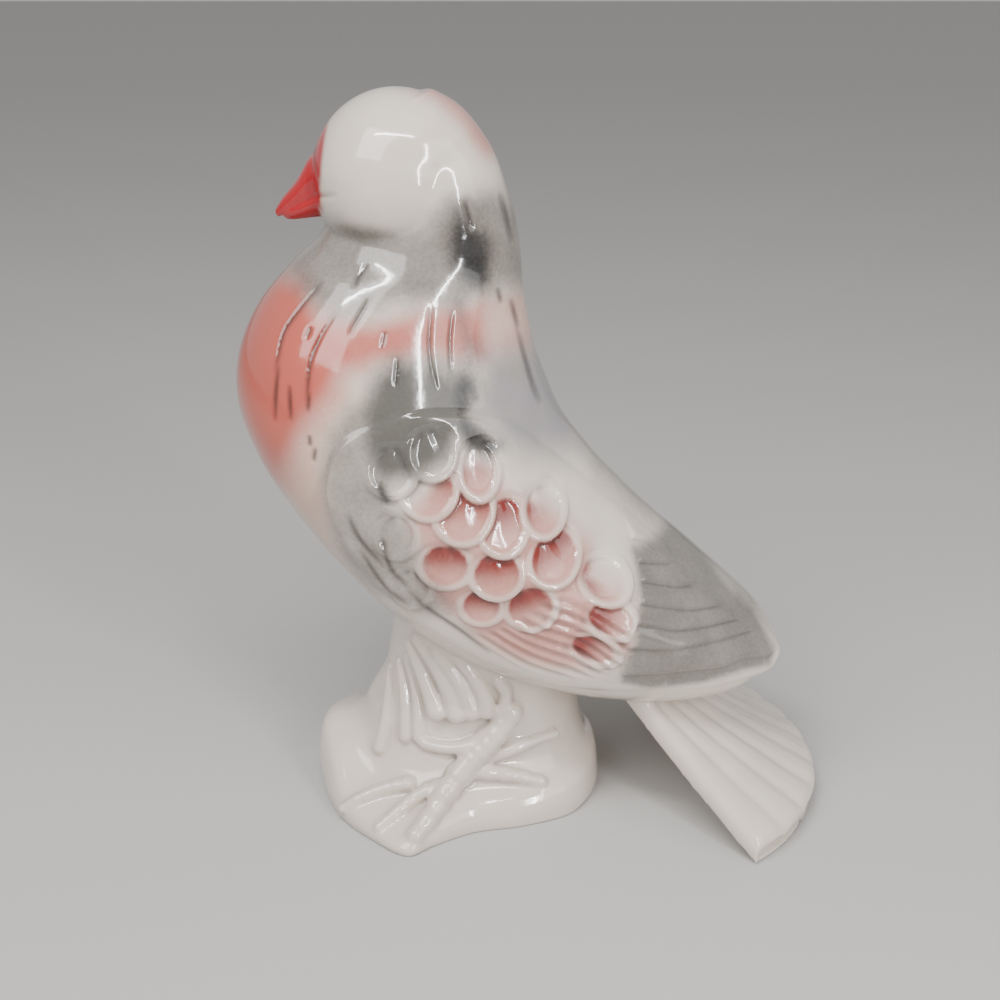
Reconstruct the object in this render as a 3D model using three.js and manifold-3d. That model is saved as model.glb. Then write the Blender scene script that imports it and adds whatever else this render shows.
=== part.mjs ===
// A glazed ceramic pigeon figurine, slip cast in one piece with its rounded base.
// Millimetres, +Z up. The bird looks along -X, its fan tail runs down along +X, and its left side faces -Y.
// The forms are laid out from a mid-plane drawing of the bird: x along it, y across it, z above the table.

import * as THREE from 'three';
import { mergeVertices } from 'three/addons/utils/BufferGeometryUtils.js';
import Module from 'manifold-3d';

const wasm = await Module();
wasm.setup();

const point = (x, y, z) => new THREE.Vector3(x, y, z);

// Driving dimensions

// Nape, neck, breast, belly and rump are one skin. Each station lists its edge on the breast side and on
// the back side as [x, z], and then its half width across the bird.
const bodyStations = [
  { front: [-32, 224], back: [-22, 227.3], half: 5 },
  { front: [-39, 220], back: [-13, 222.8], half: 13 },
  { front: [-44.5, 212], back: [-4, 212.8], half: 17.5 },
  { front: [-47.5, 202], back: [1.6, 201.2], half: 20.5 },
  { front: [-50.5, 193], back: [5, 189.5], half: 21 },
  { front: [-54, 185.5], back: [6.5, 179], half: 22.5 },
  { front: [-62.5, 177.5], back: [7, 170], half: 27.5 },
  { front: [-73, 165.5], back: [8.5, 161.5], half: 33.5 },
  { front: [-79.5, 152], back: [10.5, 152], half: 38.5 },
  { front: [-81, 138.5], back: [14, 142.5], half: 42 },
  { front: [-77.5, 124.5], back: [20, 129], half: 44 },
  { front: [-68.5, 107], back: [29, 117], half: 45 },
  { front: [-56, 89.5], back: [41.5, 103.5], half: 45 },
  { front: [-40.5, 71.5], back: [54, 92], half: 43.5 },
  { front: [-18, 54], back: [66, 81.5], half: 41 },
  { front: [12, 42], back: [77, 71.5], half: 37 },
  { front: [40, 37], back: [86, 62], half: 30.5 },
  { front: [60, 37], back: [91, 54], half: 23 },
  { front: [74, 40], back: [92.5, 47.5], half: 13 },
];
const bodyRounds = 24;
const bodySteps = 28;
const napeFullness = -0.2;
const breastFullness = 0.16;

// The head is a fuller ball that overhangs the neck, which leaves the groove under the cheeks.
const head = { centre: [-30.8, 203.8], length: 24.3, half: 24.5, height: 24.8, lean: 12 };

// The beak is two halves that meet at the mouth line, each a curved cone given at its stations.
const upperBeak = [
  { top: [-47, 213], mouth: [-47, 199.5], half: 7 },
  { top: [-55, 209.5], mouth: [-54.5, 197.5], half: 6.2 },
  { top: [-60, 202], mouth: [-60, 194.8], half: 4.6 },
  { top: [-64.5, 196.6], mouth: [-64, 191.8], half: 2.8 },
  { top: [-67, 193], mouth: [-66.2, 190.4], half: 1.2 },
];
const lowerBeak = [
  { top: [-47, 206], mouth: [-47, 191], half: 6.6 },
  { top: [-54.5, 203.5], mouth: [-54, 191], half: 6 },
  { top: [-60, 199], mouth: [-60, 190.2], half: 4.3 },
  { top: [-64.2, 195], mouth: [-63.8, 190], half: 2.4 },
];

// The wing lies on the flank as a raised panel. Its face is a dome over an axis from shoulder to wing tip:
// crest is its distance from the mid-plane along that axis, and reach is how far above the axis the dome
// comes down to the mid-plane. Below the axis it falls off slowly.
const wingAxis = { shoulder: [-38, 118], tip: [91, 44] };
const wingCrest = [46.3, 48.7, 47.5, 42.5, 32, 15];
const wingReach = [92, 54, 34.5, 26, 19.5, 10];
const wingFall = 0.0068;
// Its edges meet in front of the shoulder and at the tip: each station is a place on the lower edge and one
// on the upper edge, [x, z] as seen from the side.
const wingStations = [
  { low: [-50, 119], high: [-50, 123] },
  { low: [-48.5, 111], high: [-47.5, 132] },
  { low: [-45, 102], high: [-42, 138] },
  { low: [-38, 91.5], high: [-32, 142] },
  { low: [-29, 81.5], high: [-17, 143] },
  { low: [-18, 72], high: [0, 138] },
  { low: [-4, 63], high: [14, 126] },
  { low: [12, 55.5], high: [28, 113] },
  { low: [30, 51.5], high: [42, 100] },
  { low: [48, 49], high: [55, 88] },
  { low: [64, 47], high: [67, 77] },
  { low: [78, 46.5], high: [79, 66] },
  { low: [87, 47.5], high: [87.5, 58] },
  { low: [91.5, 50.5], high: [91.5, 52] },
];
const wingSteps = 20;
const wingRows = 6;
const wingDepth = 16;

// Scalloped coverts: centre [x, z], the way the feather points in degrees from straight down towards the
// tail, and its half width and half length. They are listed from the lowest layer to the topmost.
const coverts = [
  { at: [28, 69], turn: 60, wide: 6.5, long: 11 },
  { at: [33, 79], turn: 60, wide: 7, long: 11 },
  { at: [31, 90.5], turn: 52, wide: 7, long: 11 },
  { at: [-26.5, 91], turn: -8, wide: 8, long: 8 },
  { at: [-5.5, 85.5], turn: 5, wide: 8, long: 7.5 },
  { at: [9, 85], turn: 18, wide: 9, long: 9 },
  { at: [-16, 99], turn: 0, wide: 9.5, long: 8.5 },
  { at: [-1, 96], turn: 8, wide: 9, long: 9 },
  { at: [16, 99], turn: 22, wide: 9, long: 9 },
  { at: [-30, 108], turn: -6, wide: 7.5, long: 8.5 },
  { at: [1, 110], turn: 8, wide: 8.5, long: 10 },
  { at: [13, 112], turn: 22, wide: 7.5, long: 9 },
  { at: [-10.5, 115], turn: -4, wide: 10, long: 10.5 },
  { at: [-20.5, 121.5], turn: 2, wide: 9.5, long: 9.5 },
  { at: [-6, 126], turn: 6, wide: 7, long: 10 },
  { at: [-31, 127.5], turn: 0, wide: 8.5, long: 9 },
  { at: [-19.5, 132], turn: 14, wide: 8, long: 9 },
];
const covertRim = 3;
const covertRise = { root: -1.2, tip: 1.6, dish: 1.3 };
const plateDepth = 3;

// Long flight feathers lie one under the other behind the coverts. Each is a curved band: its root and its
// end on the flank, its half width and how far its middle sags.
const flightFeathers = [
  { root: [30, 58], end: [88, 53], half: 4.8, sag: 1.5 },
  { root: [35, 67], end: [84, 60], half: 4.8, sag: 1.5 },
  { root: [37, 75], end: [77, 68], half: 4.8, sag: 1.5 },
  { root: [38, 83], end: [70, 75.5], half: 4.6, sag: 1.5 },
  { root: [39, 90], end: [60, 84], half: 3.8, sag: 1 },
];
const flightRise = { upper: -1.4, lower: 1.5 };

// The fan tail is a slab that spreads from the rump down to the table.
const tail = {
  hub: 36, reach: 71, spread: 52, rootReach: 5, rootHalf: 22, rootHeight: 41,
  thick: 8, dip: 1, feathers: 9, groove: 1.2,
};

// The base follows the ground in an uneven round. Each point gives [x, y] and the height of the side wall.
const baseRim = [
  [-61, 3, 22], [-59, -12, 18], [-51.5, -30, 9], [-39.5, -43.5, 6], [-29, -51, 5], [-21.5, -46, 6.5],
  [-9, -38.5, 8.5], [8, -34.5, 9.5], [23, -27.5, 11], [31.5, -13.5, 12], [33, 0, 14], [31, 14, 14],
  [22, 29, 12], [5, 37, 11], [-12, 42, 9], [-29, 51, 6], [-43, 42, 9], [-55, 24, 17],
];
// The column over it carries the belly. Each level has its height, centre x, half length and half width.
const column = [
  { z: 32, x: -9, long: 35, half: 25 },
  { z: 42, x: -6.5, long: 32, half: 24 },
  { z: 53, x: -4, long: 32, half: 26 },
  { z: 66, x: 0, long: 34, half: 30 },
];

// Places on a leg are [x, distance from the mid-plane, z]. Three long folds run down the front of the thigh,
// and beside them four plumes fan from the knee and end in a scalloped row.
const plumes = [
  { line: [[-36, 8.5, 45], [-36.6, 12, 37], [-37.5, 16, 28.5], [-39.5, 18.5, 20]], radius: 2.5 },
  { line: [[-33, 12.5, 49], [-31.6, 16, 42], [-30.7, 19, 34], [-30.7, 21.3, 26]], radius: 2.3 },
  { line: [[-30.5, 15, 52], [-28, 18, 44], [-26.5, 21, 35.5], [-26.4, 23.3, 27]], radius: 2.2 },
  { line: [[-29.5, 15.5, 57.5], [-25.5, 19.5, 49], [-22.3, 22.2, 42], [-20.3, 24.5, 37]], radius: 3.4 },
  { line: [[-27, 18.2, 60], [-20.1, 22.8, 51.4], [-15.7, 24.5, 42.6], [-14, 25.8, 37]], radius: 3.4 },
  { line: [[-20.5, 22.8, 57.5], [-14.7, 24.6, 50.3], [-10.8, 25.2, 43.1], [-9.2, 26, 37.8]], radius: 3.2 },
  { line: [[-12.9, 25.3, 55.5], [-8.3, 25.6, 49.9], [-5, 25.8, 43.2], [-4.4, 26, 38.5]], radius: 3.2 },
];
// A rolled cuff hangs in a loop under the plumes, and the scaled shank runs on from it to the toes.
const cuff = {
  line: [
    [-24.5, 24.5, 25.2], [-19.9, 26.5, 25], [-14.5, 27.5, 25.2], [-8.6, 27.3, 27], [-2.7, 26, 31.7],
    [0.4, 25, 37.3], [2, 24.3, 43.3], [-0.5, 25, 48.2],
  ],
  radius: 2,
};
const shank = { line: [[3.5, 24, 36], [-3, 27, 28], [-9.5, 29, 21.5], [-13.5, 31, 17.5]], radius: 3.8 };
const toes = [
  { line: [[-30, 30, 13.5], [-38, 30, 11.5], [-45.5, 31.5, 9], [-51, 32, 5.5]], radius: 2.4 },
  { line: [[-17, 32, 14.5], [-25.5, 34, 12.3], [-32.5, 38.5, 8.6], [-38.5, 42, 5]], radius: 2.6 },
  { line: [[-13, 30, 17], [-18, 35, 12.5], [-22, 41.5, 9], [-26.5, 47, 5.5]], radius: 4.2 },
  { line: [[-9, 29, 18], [-2, 29, 17], [6, 28.5, 15.3], [13.5, 28, 13]], radius: 2.8 },
  { line: [[-8, 27.5, 20.5], [0, 26.5, 22.5], [9.8, 23.5, 25], [18.2, 19, 25.6]], radius: 2.3 },
];

// Curves through listed points

const smoothLine = (points, closed = false) => new THREE.CatmullRomCurve3(points, closed, 'catmullrom', 0.5);

// A smooth curve of plain numbers: share runs from 0 at the first to 1 at the last.
function along(values, share) {
  return smoothLine(values.map((value) => point(value, 0, 0))).getPoint(THREE.MathUtils.clamp(share, 0, 1)).x;
}

// Closed skins

const middleOf = (ring) => ring.reduce((sum, p) => sum.add(p), point(0, 0, 0)).divideScalar(ring.length);

// Joins rings of points into one skin, with a fan from the middle of the first ring and one to the tip, which
// is the middle of the last ring unless it is given.
function skinOf(rings, tip = middleOf(rings.at(-1))) {
  const count = rings[0].length;
  const places = rings.flat();
  const faces = [];
  for (let r = 0; r + 1 < rings.length; r += 1) {
    for (let i = 0; i < count; i += 1) {
      const a = r * count + i;
      const b = r * count + ((i + 1) % count);
      faces.push(a, b, a + count, b, b + count, a + count);
    }
  }
  const ends = [[middleOf(rings[0]), 0, 1], [tip, (rings.length - 1) * count, -1]];
  for (const [centre, start, way] of ends) {
    const hub = places.push(centre) - 1;
    for (let i = 0; i < count; i += 1) {
      const a = start + i;
      const b = start + ((i + 1) % count);
      faces.push(hub, way > 0 ? b : a, way > 0 ? a : b);
    }
  }
  const geometry = new THREE.BufferGeometry();
  geometry.setAttribute('position', new THREE.Float32BufferAttribute(places.flatMap((p) => p.toArray()), 3));
  geometry.setIndex(facingOut(places, faces));
  return geometry;
}

// Turns every face round when the skin encloses a negative volume.
function facingOut(places, faces) {
  let volume = 0;
  for (let f = 0; f < faces.length; f += 3) {
    const [a, b, c] = [places[faces[f]], places[faces[f + 1]], places[faces[f + 2]]];
    volume += a.dot(b.clone().cross(c));
  }
  return volume > 0 ? faces : faces.reverse();
}

// A closed geometry with its doubled vertices merged, as a solid that can be joined and cut.
function solidOf(geometry) {
  const clean = geometry.clone();
  for (const name of ['normal', 'uv']) {
    clean.deleteAttribute(name);
  }
  const merged = mergeVertices(clean, 1e-4);
  const mesh = new wasm.Mesh({
    numProp: 3,
    vertProperties: new Float32Array(merged.attributes.position.array),
    triVerts: new Uint32Array(merged.index.array),
  });
  return new wasm.Manifold(mesh);
}

// The same skin on the other side of the mid-plane.
function mirrored(geometry) {
  const other = geometry.clone().scale(1, -1, 1);
  other.setIndex(Array.from(geometry.index.array).reverse());
  return other;
}

// Body

// One ring of the body: an oval between its breast and back edges, fuller behind at the nape and fuller on
// the breast side below it.
function bodyRing(share) {
  const front = smoothLine(bodyStations.map((s) => point(s.front[0], 0, s.front[1]))).getPoint(share);
  const back = smoothLine(bodyStations.map((s) => point(s.back[0], 0, s.back[1]))).getPoint(share);
  const half = along(bodyStations.map((s) => s.half), share);
  const centre = front.clone().add(back).divideScalar(2);
  const toFront = front.clone().sub(centre);
  const fullness = THREE.MathUtils.lerp(napeFullness, breastFullness, THREE.MathUtils.smoothstep(share, 0.2, 0.4));
  const ring = [];
  for (let i = 0; i < bodyRounds; i += 1) {
    const angle = (i / bodyRounds) * 2 * Math.PI;
    const across = half * Math.sin(angle) * (1 + fullness * Math.cos(angle));
    ring.push(centre.clone().addScaledVector(toFront, Math.cos(angle)).add(point(0, across, 0)));
  }
  return ring;
}

function makeBody() {
  const rings = [];
  for (let step = 0; step <= bodySteps; step += 1) {
    rings.push(bodyRing(step / bodySteps));
  }
  return skinOf(rings);
}

function makeHead() {
  const ball = new THREE.SphereGeometry(1, 22, 13);
  ball.scale(head.length, head.height, head.half);
  ball.rotateX(Math.PI / 2);
  ball.rotateY(THREE.MathUtils.degToRad(head.lean));
  return ball.translate(head.centre[0], 0, head.centre[1]);
}

// Half of the beak: rings that stand between its top edge and its mouth edge.
function makeBeakHalf(stations, rounds = 10, steps = 6) {
  const rings = [];
  for (let step = 0; step <= steps; step += 1) {
    const share = step / steps;
    const top = smoothLine(stations.map((s) => point(s.top[0], 0, s.top[1]))).getPoint(share);
    const mouth = smoothLine(stations.map((s) => point(s.mouth[0], 0, s.mouth[1]))).getPoint(share);
    const half = along(stations.map((s) => s.half), share);
    const centre = top.clone().add(mouth).divideScalar(2);
    const toTop = top.clone().sub(centre);
    const ring = [];
    for (let i = 0; i < rounds; i += 1) {
      const angle = (i / rounds) * 2 * Math.PI;
      ring.push(centre.clone().addScaledVector(toTop, Math.cos(angle)).add(point(0, half * Math.sin(angle), 0)));
    }
    rings.push(ring);
  }
  return skinOf(rings);
}

// Wings

// How far the wing's face stands from the mid-plane at a place seen from the side.
function flank(x, z) {
  const [sx, sz] = wingAxis.shoulder;
  const run = [wingAxis.tip[0] - sx, wingAxis.tip[1] - sz];
  const length = Math.hypot(...run);
  const share = ((x - sx) * run[0] + (z - sz) * run[1]) / length ** 2;
  const above = ((z - sz) * run[0] - (x - sx) * run[1]) / length;
  const crest = along(wingCrest, share);
  if (above < 0) {
    return crest - wingFall * above ** 2;
  }
  return crest * Math.max(0, 1 - (above / along(wingReach, share)) ** 1.6) ** 0.75;
}

// A plate on the flank that slants like a roof tile. Its edge is seen from the side as [x, z, height above
// the wing's face]. A ribbon runs round it, and inside the ribbon its middle sinks by the dish.
function plateOn(edge, ribbon, dish) {
  const mean = (k) => edge.reduce((sum, place) => sum + place[k] / edge.length, 0);
  const middle = [mean(0), mean(1), mean(2)];
  const raised = ([x, z, height], lift) => point(x, -flank(x, z) - height - lift, z);
  const ringAt = (share, lift) => edge.map((place) => raised(middle.map((m, k) => m + (place[k] - m) * share), lift));
  const rings = [ringAt(1, -plateDepth), ringAt(1, 0)];
  if (ribbon > 0) {
    rings.push(ringAt(1 - ribbon, 0));
  }
  return skinOf(rings, raised(middle, -dish));
}

// The wing panel: lines from its lower to its upper edge, closed behind by its depth.
function makeWing() {
  const low = smoothLine(wingStations.map((s) => point(s.low[0], 0, s.low[1])));
  const high = smoothLine(wingStations.map((s) => point(s.high[0], 0, s.high[1])));
  const rings = [];
  for (let step = 0; step <= wingSteps; step += 1) {
    const [from, to] = [low.getPoint(step / wingSteps), high.getPoint(step / wingSteps)];
    const face = [];
    for (let row = 0; row <= wingRows; row += 1) {
      const p = from.clone().lerp(to, row / wingRows);
      face.push(p.setY(-flank(p.x, p.z)));
    }
    const inside = [to, from].map((p) => point(p.x, -flank(p.x, p.z) + wingDepth, p.z));
    rings.push([...face, ...inside]);
  }
  return skinOf(rings);
}

// A rounded feather with a raised ribbon along its edge and a dished middle.
function makeCovert({ at, turn, wide, long }, rounds) {
  const lean = THREE.MathUtils.degToRad(turn);
  const edge = [];
  for (let i = 0; i < rounds; i += 1) {
    const angle = (i / rounds) * 2 * Math.PI;
    const down = long * Math.cos(angle);
    const side = wide * Math.sin(angle);
    const x = at[0] + Math.sin(lean) * down + Math.cos(lean) * side;
    const z = at[1] - Math.cos(lean) * down + Math.sin(lean) * side;
    edge.push([x, z, THREE.MathUtils.lerp(covertRise.root, covertRise.tip, (1 + Math.cos(angle)) / 2)]);
  }
  return plateOn(edge, rounds > 8 ? covertRim / Math.min(wide, long) : 0, covertRise.dish);
}

// A long flight feather: a band along a sagging line, with its lower edge standing over the next one.
function makeFlightFeather({ root, end, half, sag }, steps = 5) {
  const run = [end[0] - root[0], end[1] - root[1]];
  const length = Math.hypot(...run);
  const up = [-run[1] / length, run[0] / length];
  const edgePoint = (share, side, height) => {
    const across = half * side * (1 - share ** 4) - sag * 4 * share * (1 - share);
    const x = root[0] + run[0] * share + up[0] * across;
    const z = root[1] + run[1] * share + up[1] * across;
    return point(x, -flank(x, z) - height, z);
  };
  const rings = [];
  for (let step = 0; step <= steps; step += 1) {
    const share = (0.94 * step) / steps;
    rings.push([
      edgePoint(share, -1, -plateDepth), edgePoint(share, -1, flightRise.lower),
      edgePoint(share, 1, flightRise.upper), edgePoint(share, 1, -plateDepth),
    ]);
  }
  return skinOf(rings);
}

// Tail

// A place on the fan: share runs outwards from the root, side from -1 to 1 across it.
function fanPoint(share, side, lift) {
  const spread = THREE.MathUtils.degToRad(tail.spread) * side;
  const root = [tail.hub + tail.rootReach * Math.cos(spread), tail.rootHalf * side];
  const end = [tail.hub + tail.reach * Math.cos(spread), tail.reach * Math.sin(spread)];
  const z = tail.rootHeight * (1 - share) - tail.dip * 4 * share * (1 - share);
  return point(root[0] + (end[0] - root[0]) * share, root[1] + (end[1] - root[1]) * share, z + lift);
}

function makeTail() {
  const across = tail.feathers * 2;
  const rings = [];
  for (const share of [0, 0.35, 0.7, 0.97, 1]) {
    const under = [];
    const over = [];
    const edgeDrop = share === 1 ? 1.5 : 0;
    for (let i = 0; i <= across; i += 1) {
      const side = (2 * i) / across - 1;
      const groove = i % 2 === 0 ? tail.groove : 0;
      over.push(fanPoint(share, side, tail.thick - groove - edgeDrop));
    }
    for (let i = across; i >= 0; i -= 2) {
      under.push(fanPoint(share, (2 * i) / across - 1, 0));
    }
    rings.push([...over, ...under]);
  }
  return skinOf(rings);
}

// Base and legs

// The base and its column are one skin: the ground outline rises in a rounded wall, runs in over the top
// and sweeps up into the column.
function makeBase() {
  const rounds = 32;
  const outline = smoothLine(baseRim.map(([x, y, wall]) => point(x, y, wall)), true);
  const lowest = column[0];
  const groundRing = [];
  for (let i = 0; i < rounds; i += 1) {
    groundRing.push(outline.getPoint(i / rounds));
  }
  const columnPoint = (level, p) => {
    const angle = Math.atan2(p.y / level.half, (p.x - lowest.x) / level.long);
    return point(level.x + level.long * Math.cos(angle), level.half * Math.sin(angle), level.z);
  };
  const steps = [
    { out: 1, up: 0, rise: 0 }, { out: 1.02, up: 0.45, rise: 0 }, { out: 0.94, up: 0.86, rise: 0 },
    { out: 0.78, up: 1, rise: 0.04 }, { out: 0.38, up: 1, rise: 0.22 }, { out: 0.12, up: 1, rise: 0.55 },
  ];
  const rings = steps.map(({ out, up, rise }) => groundRing.map((p) => {
    const inner = columnPoint(lowest, p);
    const z = p.z * up + (lowest.z - p.z) * rise;
    return point(inner.x + (p.x - inner.x) * out, inner.y + (p.y - inner.y) * out, z);
  }));
  for (const level of column) {
    rings.push(groundRing.map((p) => columnPoint(level, p)));
  }
  return skinOf(rings);
}

// A round bar along a smooth line through the points, with rounded ends. radiusAt gives its radius along it.
function makeBar(points, radiusAt, rounds, steps) {
  const line = smoothLine(points.map(([x, out, z]) => point(x, -out, z)));
  const up = point(0, 0, 1);
  const rings = [];
  const ringAt = (centre, tangent, radius) => {
    const side = tangent.clone().cross(up).normalize();
    const over = side.clone().cross(tangent);
    const ring = [];
    for (let i = 0; i < rounds; i += 1) {
      const angle = (i / rounds) * 2 * Math.PI;
      ring.push(centre.clone().addScaledVector(side, radius * Math.cos(angle)).addScaledVector(over, radius * Math.sin(angle)));
    }
    return ring;
  };
  for (let step = 0; step <= steps; step += 1) {
    const share = step / steps;
    const centre = line.getPoint(share);
    const tangent = line.getTangent(share);
    const radius = radiusAt(share);
    if (step === 0) {
      rings.push(ringAt(centre.clone().addScaledVector(tangent, -radius * 0.7), tangent, radius * 0.6));
    }
    rings.push(ringAt(centre, tangent, radius));
    if (step === steps) {
      rings.push(ringAt(centre.clone().addScaledVector(tangent, radius * 0.7), tangent, radius * 0.6));
    }
  }
  return skinOf(rings);
}

const makePlume = ({ line, radius }, rounds) => makeBar(line, (share) => radius * (0.5 + 0.5 * share), rounds, 3);

const makeCuff = (rounds) => makeBar(cuff.line, () => cuff.radius, rounds, 7);

const makeShank = (rounds) => makeBar(shank.line, () => shank.radius, rounds, 2);

// A toe: it tapers to its claw and swells at its joints.
function makeToe({ line, radius }, rounds) {
  return makeBar(line, (share) => radius * (1 - 0.35 * share) * (1 + 0.08 * Math.cos(share * 4 * Math.PI)), rounds, 4);
}

// The whole cast

// One wing and one leg. Only the left side has the finer coverts with their ribbons.
function makeSide(covertRounds, barRounds) {
  return [
    makeWing(), ...coverts.map((feather) => makeCovert(feather, covertRounds)),
    ...flightFeathers.map((feather) => makeFlightFeather(feather)),
    ...plumes.map((plume) => makePlume(plume, barRounds)), makeCuff(barRounds), makeShank(barRounds + 1),
    ...toes.map((toe) => makeToe(toe, barRounds)),
  ];
}

function makePigeon() {
  const forms = [
    makeBody(), makeHead(), makeBeakHalf(upperBeak), makeBeakHalf(lowerBeak), makeTail(), makeBase(),
    ...makeSide(10, 6), ...makeSide(6, 4).map(mirrored),
  ];
  const cast = forms.map(solidOf).reduce((whole, form) => whole.add(form));
  const mesh = cast.getMesh();
  const geometry = new THREE.BufferGeometry();
  geometry.setAttribute('position', new THREE.BufferAttribute(mesh.vertProperties, mesh.numProp));
  geometry.setIndex(new THREE.BufferAttribute(mesh.triVerts, 1));
  geometry.computeBoundingBox();
  const middle = geometry.boundingBox.getCenter(point(0, 0, 0));
  geometry.translate(-middle.x, -middle.y, -geometry.boundingBox.min.z);
  geometry.computeVertexNormals();
  return geometry;
}

const glaze = new THREE.MeshStandardMaterial({ color: 0x8f8a87, roughness: 0.12, metalness: 0 });
const pigeon = new THREE.Mesh(makePigeon(), glaze);
pigeon.name = 'pigeon_figurine';

const group = new THREE.Group();
group.add(pigeon);

export default group;
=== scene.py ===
import math
import bpy
import numpy as np
from mathutils import Matrix, Vector


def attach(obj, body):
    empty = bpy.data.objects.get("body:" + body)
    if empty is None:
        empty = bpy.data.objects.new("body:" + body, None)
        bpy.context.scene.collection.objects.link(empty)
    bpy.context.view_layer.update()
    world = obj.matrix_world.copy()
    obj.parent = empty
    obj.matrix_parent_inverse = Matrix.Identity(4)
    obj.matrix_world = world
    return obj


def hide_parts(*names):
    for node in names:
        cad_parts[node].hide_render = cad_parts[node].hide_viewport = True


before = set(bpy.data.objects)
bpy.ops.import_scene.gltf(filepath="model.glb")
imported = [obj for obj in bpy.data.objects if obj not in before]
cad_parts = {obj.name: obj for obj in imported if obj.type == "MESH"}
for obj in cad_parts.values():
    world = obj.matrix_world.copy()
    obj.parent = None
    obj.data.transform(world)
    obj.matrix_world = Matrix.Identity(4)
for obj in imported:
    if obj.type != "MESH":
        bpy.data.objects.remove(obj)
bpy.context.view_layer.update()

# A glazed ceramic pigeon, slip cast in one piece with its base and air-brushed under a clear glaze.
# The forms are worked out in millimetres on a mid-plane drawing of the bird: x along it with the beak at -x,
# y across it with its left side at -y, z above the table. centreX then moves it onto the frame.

mm = 0.001
centreX = -13.03


# Numbers and lines

# 0 below low, 1 above high and a smooth S between them.
def smoothStep(value, low, high):
    t = np.clip((value - low) / (high - low), 0, 1)
    return t * t * (3 - 2 * t)


def blend(a, b, share):
    return a + (b - a) * share


# The larger of two values, with the corner between them rounded over the width k.
def smoothMax(a, b, k):
    return np.maximum(a, b) + np.clip(k - np.abs(a - b), 0, None) ** 2 / (4 * k)


# A smooth line through points: on each stretch a cubic whose slope at a point is half the step between
# its neighbours. share runs from 0 at the first point to 1 at the last, or once round a closed line.
def smoothLine(points, share, closed=False):
    points = np.asarray(points, float)
    share = np.asarray(share, float)
    count = len(points)
    if closed:
        t = share % 1 * count
        i = np.floor(t).astype(int)
        a, b, c, d = (points[(i + k) % count] for k in (-1, 0, 1, 2))
    else:
        ends = np.concatenate([[2 * points[0] - points[1]], points, [2 * points[-1] - points[-2]]])
        t = np.clip(share, 0, 1) * (count - 1)
        i = np.minimum(np.floor(t).astype(int), count - 2)
        a, b, c, d = (ends[i + k] for k in (0, 1, 2, 3))
    w = (t - i).reshape(t.shape + (1,) * (points.ndim - 1))
    return b + w / 2 * (c - a) + w**2 * (a - 2.5 * b + 2 * c - d / 2) + w**3 * (1.5 * (b - c) + (d - a) / 2)


# A smooth curve of plain numbers.
def smoothValue(values, share):
    return smoothLine(np.asarray(values, float)[:, None], share)[..., 0]


# Distance of each place (x, z) from a line of points, and how far along the line the nearest point is, 0 to 1.
def nearLine(x, z, line):
    line = np.asarray(line, float)
    best = np.full(x.shape, 1e9)
    where = np.zeros(x.shape)
    spans = np.hypot(*(line[1:] - line[:-1]).T)
    starts = np.concatenate([[0], np.cumsum(spans)])
    for (ax, az), (bx, bz), start, span in zip(line[:-1], line[1:], starts, spans):
        t = np.clip(((x - ax) * (bx - ax) + (z - az) * (bz - az)) / span**2, 0, 1)
        away = np.hypot(x - ax - (bx - ax) * t, z - az - (bz - az) * t)
        closer = away < best
        best = np.where(closer, away, best)
        where = np.where(closer, (start + t * span) / starts[-1], where)
    return best, where


# How deep each place (x, z) lies inside a closed outline, in millimetres, negative outside it.
def depthInside(x, z, outline):
    ring = np.asarray(list(outline) + [outline[0]], float)
    inside = np.zeros(x.shape, bool)
    for (ax, az), (bx, bz) in zip(ring[:-1], ring[1:]):
        if az != bz:
            crosses = ((az > z) != (bz > z)) & (x < ax + (bx - ax) * (z - az) / (bz - az))
            inside ^= crosses
    away, _ = nearLine(x, z, ring)
    return np.where(inside, away, -away)


# Closed skins

# Joins rings of points, an array of rings x points x 3, into triangles, with a fan from the middle of the
# first ring and one to the tip, which is the middle of the last ring unless it is given. A skin that
# encloses a negative volume is turned round.
def skinOf(rings, tip=None):
    steps, count = rings.shape[:2]
    a = (np.arange(steps - 1)[:, None] * count + np.arange(count)).ravel()
    b = (np.arange(steps - 1)[:, None] * count + (np.arange(count) + 1) % count).ravel()
    sides = np.concatenate([np.stack([a, b, a + count], 1), np.stack([b, b + count, a + count], 1)])
    first = np.arange(count)
    after = (first + 1) % count
    last = (steps - 1) * count
    hub = steps * count
    near = np.stack([np.full(count, hub), after, first], 1)
    far = np.stack([np.full(count, hub + 1), first + last, after + last], 1)
    middles = [rings[0].mean(0), rings[-1].mean(0) if tip is None else tip]
    places = np.concatenate([rings.reshape(-1, 3), middles])
    faces = np.concatenate([sides, near, far])
    corners = places[faces]
    volume = np.einsum("ij,ij->", corners[:, 0], np.cross(corners[:, 1], corners[:, 2]))
    return places, faces if volume > 0 else faces[:, ::-1]


def mirrored(form):
    places, faces = form
    return places * [1, -1, 1], faces[:, ::-1]


# Body, head and beak

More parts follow.
